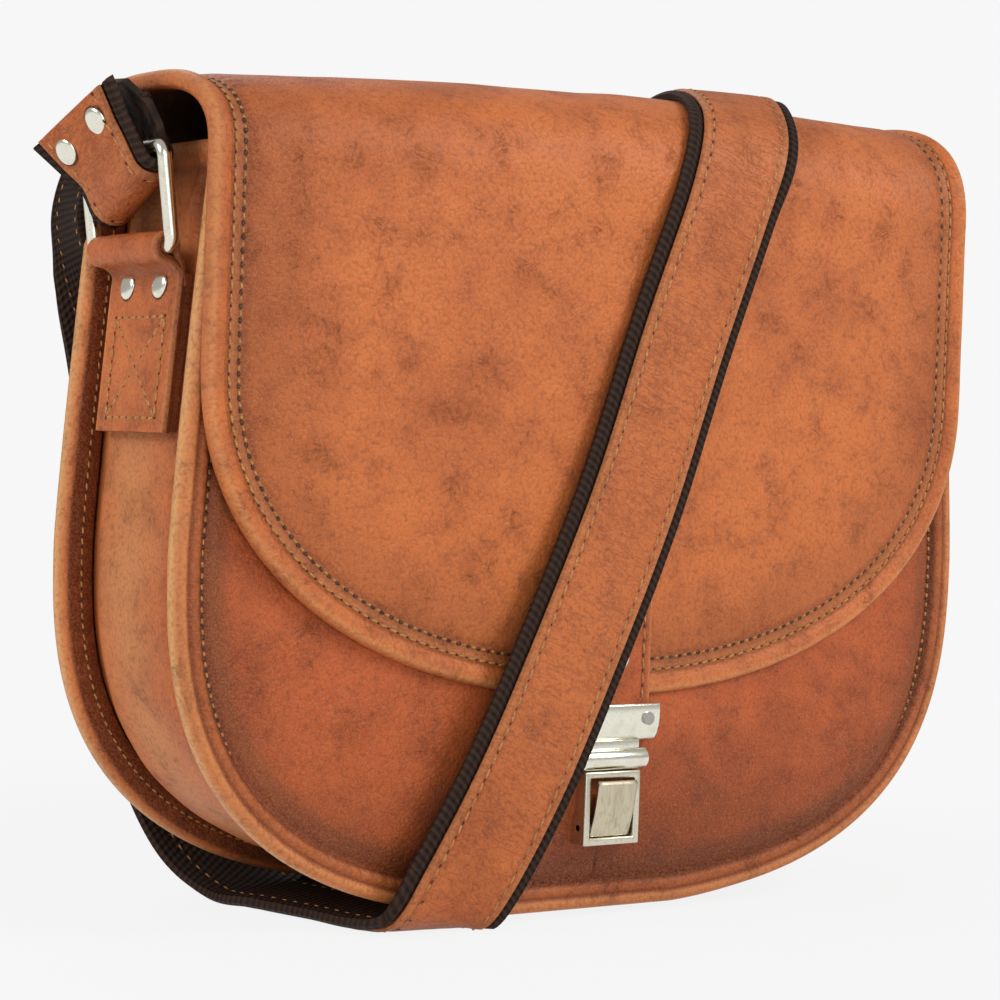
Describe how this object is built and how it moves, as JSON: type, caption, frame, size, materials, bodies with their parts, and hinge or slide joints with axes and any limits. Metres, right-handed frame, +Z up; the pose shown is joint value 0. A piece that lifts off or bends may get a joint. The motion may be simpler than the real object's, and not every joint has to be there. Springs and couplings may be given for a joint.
{
  "type": "saddle handbag",
  "caption": "Saddle bag in bound leather with an arched flap, side rings, a shoulder strap wound once round it and a sprung press lock.",
  "frame": {"origin": "middle of the bounding box on the ground, with the strap's lower face and the bag standing on it", "axes": "+X across the bag to the right seen from the front, +Y from the front to the back, +Z up"},
  "size_m": [0.307, 0.1285, 0.2474],
  "materials": {
    "leather_panel": "satin",
    "leather_gusset": "satin",
    "leather_binding": "satin",
    "leather_strap": "matte",
    "webbing": "matte",
    "lining": "matte",
    "nickel": "polished",
    "brass": "brushed",
    "steel": "satin"
  },
  "bodies": {
    "bag": {"front_panel": "leather_panel", "back_panel": "leather_panel", "gusset": "leather_gusset", "front_binding": "leather_binding", "back_binding": "leather_binding", "front_lining": "lining", "back_lining": "lining", "gusset_lining": "lining", "flap_back_strip": "leather_panel", "lock_case": "nickel", "lock_base_plate": "nickel", "lock_inner_plate": "nickel", "lock_screws": "nickel", "lock_button_pin": "steel", "lock_spring": "steel", "left_ring_tab": "leather_panel", "left_tab_rivets": "nickel", "right_ring_tab": "leather_panel", "right_tab_rivets": "nickel", "strap_left_webbing": "webbing", "strap_left_leather": "leather_strap", "strap_under_webbing": "webbing", "strap_under_leather": "leather_strap", "strap_wrap_webbing": "webbing", "strap_wrap_leather": "leather_strap", "strap_right_webbing": "webbing", "strap_right_leather": "leather_strap"},
    "flap_top": {"flap_top_leather": "leather_panel", "flap_top_lining": "lining", "flap_top_bindings": "leather_binding"},
    "flap_front": {"flap_front_leather": "leather_panel", "flap_front_lining": "lining", "flap_front_binding": "leather_binding", "flap_tongue": "leather_panel", "tongue_rivet": "nickel", "hasp_plate": "nickel", "hasp_barrel": "nickel", "hasp_screws": "nickel"},
    "lock_button": {"lock_button": "brass"},
    "left_ring": {"left_ring": "nickel", "left_strap_end_webbing": "webbing", "left_strap_end_leather": "leather_strap", "left_strap_end_rivets": "nickel"},
    "right_ring": {"right_ring": "nickel", "right_strap_end_webbing": "webbing", "right_strap_end_leather": "leather_strap", "right_strap_end_rivets": "nickel"}
  },
  "joints": [
    {"name": "flap_hinge", "type": "hinge", "parent": "bag", "child": "flap_top", "pos_m": [0, 0.0249, 0.2084], "axis": [-1, 0, 0], "range_deg": [0, 95], "deforming": ["strap_wrap_webbing", "strap_wrap_leather", "strap_under_webbing", "strap_under_leather"]},
    {"name": "flap_unfold", "type": "hinge", "parent": "flap_top", "child": "flap_front", "pos_m": [0, -0.0555, 0.2084], "axis": [-1, 0, 0], "range_deg": [0, 86]},
    {"name": "lock_button_press", "type": "hinge", "parent": "bag", "child": "lock_button", "pos_m": [0, -0.0546, 0.0269], "axis": [-1, 0, 0], "range_deg": [0, 8], "stiffness_Nm_per_rad": 0.05, "springref_deg": -5.73, "deforming": ["lock_spring"]},
    {"name": "left_ring_swivel", "type": "hinge", "parent": "bag", "child": "left_ring", "pos_m": [-0.137, -0.0146, 0.1844], "axis": [0, -1, 0], "range_deg": [-8, 30], "deforming": ["strap_left_webbing", "strap_left_leather"]},
    {"name": "right_ring_swivel", "type": "hinge", "parent": "bag", "child": "right_ring", "pos_m": [0.137, -0.0146, 0.1844], "axis": [0, 1, 0], "range_deg": [-8, 30], "deforming": ["strap_right_webbing", "strap_right_leather"]}
  ],
  "couplings": [
    {"joint": "flap_unfold", "follows": "flap_hinge", "ratio": 0.9}
  ]
}
